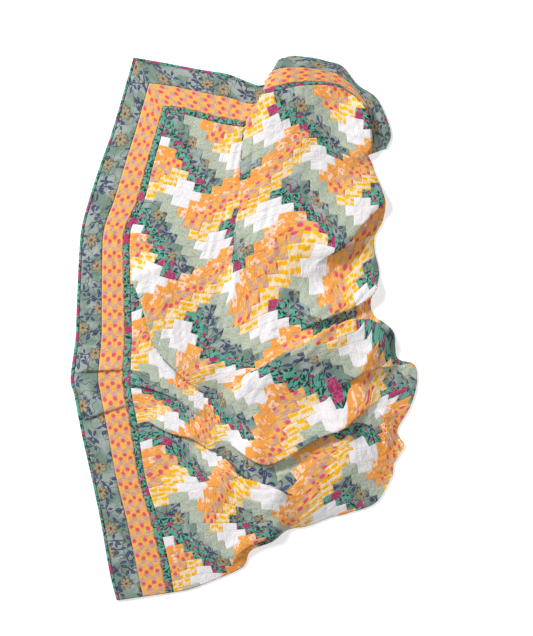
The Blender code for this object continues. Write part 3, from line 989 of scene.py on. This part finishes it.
def patchwork_material():
    """The pieced centre: each brick takes its print from its column and row."""
    material, n, shader, at = new_material("patchwork_cottons")
    u, v, _z = n.split(at)
    u = n.math("MAXIMUM", u, FIRST_COLUMN)
    v = n.math("MAXIMUM", v, FIRST_ROW)
    column = n.math("FLOOR", u)
    row = n.math("FLOOR", v)
    row_in = n.math("FLOORED_MODULO", row, REPEAT)
    warm_band = band_of(n, n.math("FLOORED_MODULO", n.plus(column, row), REPEAT))
    cool_band = band_of(n, n.math("FLOORED_MODULO", n.minus(column, row), REPEAT))
    warm_rows = n.math("FLOORED_MODULO", n.minus(n.minus(row_in, 1.0), warm_band), REPEAT)
    cool_rows = n.math("FLOORED_MODULO", n.plus(n.plus(row_in, 2.0), cool_band), REPEAT)
    warm_on = n.math("LESS_THAN", warm_rows, COLOURED_ROWS)
    cool_on = n.math("LESS_THAN", cool_rows, COLOURED_ROWS)

    patch = n.join(n.math("FLOOR", n.over(u, 2.0)), row, warm_band)
    cut = n.vector("ADD", at, n.scaled(n.random(patch), CUT_SPREAD))

    shade = print_white(n, at)
    prints = (
        (warm_on, warm_band, (print_orange, print_bud_rows, print_yellow)),
        (cool_on, cool_band, (print_teal, print_blue_floral, print_sage)),
    )
    for on, band, painters in prints:
        for number, painter in enumerate(painters):
            here = n.times(on, n.math("COMPARE", band, float(number), 0.25))
            shade = n.mix(here, shade, painter(n, at if painter is print_blue_floral else cut))

    cloth_surface(n, shader, at, shade, seam_ditches(n, u, v, row, cool_on))
    return material


def add_piece(piece, name):
    """Hides the CAD part that a sheet stands for, and hangs the sheet on the root body."""
    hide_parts(name)
    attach(piece, "root")


Strip = namedtuple("Strip", "name thick width cells painter")
STRIPS = (
    Strip("binding", BINDING_THICK, 10.0, 2, print_teal),
    Strip("border_outer_floral", QUILT_THICK, 82.0, 14, print_blue_floral),
    Strip("border_middle_orange", QUILT_THICK, 80.0, 14, print_bud_rows),
    Strip("border_inner_narrow", QUILT_THICK, 25.0, 4, print_teal),
)


def make_strips(lines, outline):
    """The border's strips from the outer edge inwards, each cut to its own width."""
    half_gap = 0.5 * PIECE_GAP
    for number, strip in enumerate(STRIPS):
        first = lines[number]
        if number > 0:
            first = offset_line(first, half_gap)
        last = offset_line(lines[number + 1], -half_gap)
        parts = np.linspace(0.0, 1.0, strip.cells + 1)
        plan = first[:, None, :] * (1.0 - parts[None, :, None]) + last[:, None, :] * parts[None, :, None]
        middle = 0.5 * (first + last)
        run = np.concatenate(([0.0], np.cumsum(np.hypot(*np.diff(middle, axis=0).T))))
        across = parts[None, :] * strip.width / UNIT + STRIP_SHIFT * number
        cloth = np.dstack(np.broadcast_arrays(across, -run[:, None] / UNIT))
        material = strip_material(strip.name + "_print", strip.painter)
        piece = make_sheet(strip.name + "_cloth", plan, strip.thick, outline, cloth, material)
        add_piece(piece, strip.name)


def make_centre(border_edge, right_free, foot_free, outline):
    """The pieced centre, between the border's inner edge and the two edges that are turned down."""
    inner_line = offset_line(border_edge, 0.5 * PIECE_GAP)
    left_edge = inner_line[:FINE_DOWN + 1][::-1]
    top_edge = inner_line[FINE_DOWN:FINE_DOWN + FINE_ACROSS + 1]
    right_edge = np.vstack((inner_line[FINE_DOWN + FINE_ACROSS:], right_free[1:]))
    foot_edge = foot_free[::-1].copy()
    foot_edge[0] = left_edge[-1]
    plan = centre_plan(left_edge, top_edge, right_edge, foot_edge)
    piece = make_sheet("pieced_centre_cloth", plan, QUILT_THICK, outline, None, patchwork_material())
    add_piece(piece, "pieced_centre")


def make_quilt():
    """Cuts the border's curves into even steps, and lays the strips and the centre between them."""
    inner = np.array([(row.inner_x, row.inner_y) for row in BORDER], dtype=float)
    names = [row.name for row in BORDER]
    corner = names.index("corner")
    shoulder = names.index("shoulder")
    side = even_rows(inner[:corner + 1], FINE_DOWN)
    top = corner + even_rows(inner[corner:shoulder + 1], FINE_ACROSS)
    flap = shoulder + even_rows(inner[shoulder:], FINE_BESIDE_FLAP)
    lines = border_lines(np.concatenate((side, top[1:], flap[1:])))
    right_free = even_line(RIGHT_EDGE, FINE_DOWN - FINE_BESIDE_FLAP)
    foot_free = even_line(FOOT_EDGE, FINE_ACROSS)
    outline = np.vstack((lines[0], lines[-1][-1:], right_free[1:], foot_free[1:], lines[0][:1]))
    outline = outline[::OUTLINE_STEP]
    make_strips(lines, outline)
    make_centre(lines[-1], right_free, foot_free, outline)


def make_stage():
    """A plain pale floor just under the quilt."""
    bpy.ops.mesh.primitive_plane_add(size=FLOOR_SIZE, location=(0.0, 0.0, -FLOOR_DROP))
    floor = bpy.context.object
    floor.name = "floor"
    material = bpy.data.materials.new("pale_floor")
    material.use_nodes = True
    shader = material.node_tree.nodes["Principled BSDF"]
    shader.inputs["Base Color"].default_value = (0.95, 0.95, 0.95, 1.0)
    shader.inputs["Roughness"].default_value = 0.9
    shader.inputs["Emission Color"].default_value = (1.0, 1.0, 1.0, 1.0)
    shader.inputs["Emission Strength"].default_value = FLOOR_GLOW
    floor.data.materials.append(material)


def add_area_light(name, place, size, power):
    """A square light that points at the quilt's middle."""
    light = bpy.data.lights.new(name, "AREA")
    light.shape = "SQUARE"
    light.size = size
    light.energy = power
    thing = bpy.data.objects.new(name, light)
    thing.location = place
    aim = Vector((0.0, 0.0, 0.0)) - Vector(place)
    thing.rotation_euler = aim.to_track_quat("-Z", "Y").to_euler()
    bpy.context.scene.collection.objects.link(thing)


def make_lights():
    """A large soft key light from the head end's left, a weak fill light from above, and an even sky."""
    world = bpy.context.scene.world or bpy.data.worlds.new("studio")
    bpy.context.scene.world = world
    world.use_nodes = True
    background = world.node_tree.nodes["Background"]
    background.inputs["Color"].default_value = (1.0, 1.0, 1.0, 1.0)
    background.inputs["Strength"].default_value = SKY_GLOW
    for light in LIGHTS:
        add_area_light(light.name, (light.x, light.y, light.z), light.size, light.power)
    bpy.context.scene.view_settings.view_transform = "Standard"


def make_camera():
    """The photo's camera: straight above, with the photo's height filling the frame."""
    camera = bpy.data.cameras.new("photo_camera")
    camera.sensor_width = SENSOR
    camera.lens = SENSOR * CAMERA_UP / (PIXEL * PICTURE_TALL)
    thing = bpy.data.objects.new("photo_camera", camera)
    thing.location = (VIEW_X * MM, VIEW_Y * MM, CAMERA_UP * MM)
    thing.rotation_euler = (0.0, 0.0, 0.0)
    bpy.context.scene.collection.objects.link(thing)
    bpy.context.scene.camera = thing


make_camera()
make_quilt()
make_stage()
make_lights()
